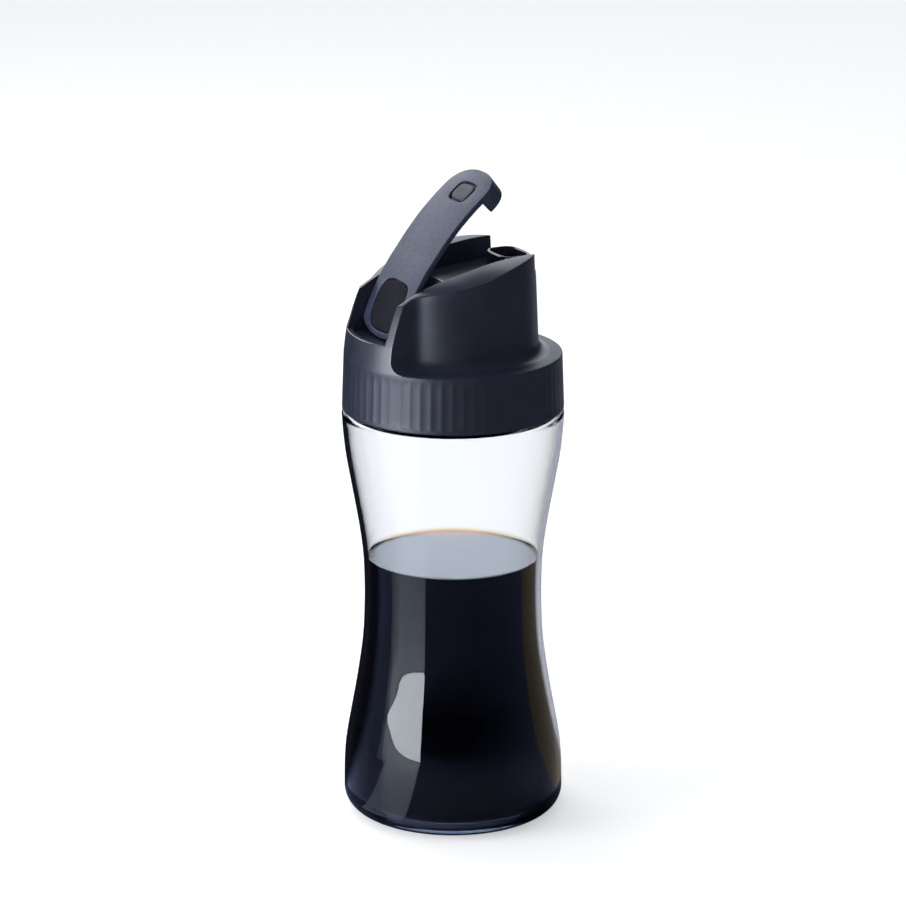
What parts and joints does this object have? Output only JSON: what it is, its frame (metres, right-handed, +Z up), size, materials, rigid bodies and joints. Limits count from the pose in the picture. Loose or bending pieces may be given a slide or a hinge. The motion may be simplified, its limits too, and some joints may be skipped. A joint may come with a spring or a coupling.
{
  "type": "oil and vinegar dispenser",
  "caption": "Waisted clear bottle of vinegar with a fluted screw cap, a pouring tower with an open channel, and a flip lever whose plug shuts the spout.",
  "frame": {"origin": "centre of the bottle's foot, on the surface it stands on", "axes": "+Z up along the bottle's axis, +X towards the spout, and the lever's hinge runs along Y"},
  "size_m": [0.0862, 0.0862, 0.255],
  "materials": {
    "clear_plastic": "clear, polished",
    "vinegar": "liquid, near black",
    "cap_plastic": "fine satin, blue black",
    "lever_plastic": "fine spark texture, slate",
    "dark_silicone": "soft matt",
    "seal_silicone": "soft matt"
  },
  "bodies": {
    "bottle": {"bottle": "clear_plastic", "vinegar": "vinegar"},
    "gasket": {"lip_gasket": "seal_silicone"},
    "cap": {"cap_body": "cap_plastic", "pour_insert": "cap_plastic"},
    "lever": {"lever_arm": "lever_plastic", "spout_plug": "dark_silicone", "thumb_pad": "dark_silicone"}
  },
  "joints": [
    {"name": "cap_lift", "type": "slide", "parent": "bottle", "child": "gasket", "axis": [0, 0, 1], "range_m": [0, 0.0241]},
    {"name": "cap_turn", "type": "hinge", "parent": "gasket", "child": "cap", "pos_m": [0, 0, 0.175], "axis": [0, 0, 1], "range_deg": [0, 720]},
    {"name": "lever_hinge", "type": "hinge", "parent": "cap", "child": "lever", "pos_m": [-0.01934, 0, 0.2074], "axis": [0, 1, 0], "range_deg": [0, 38.2]}
  ],
  "couplings": [
    {"joint": "cap_lift", "follows": "cap_turn", "m_per_rad": 0.0019099}
  ]
}
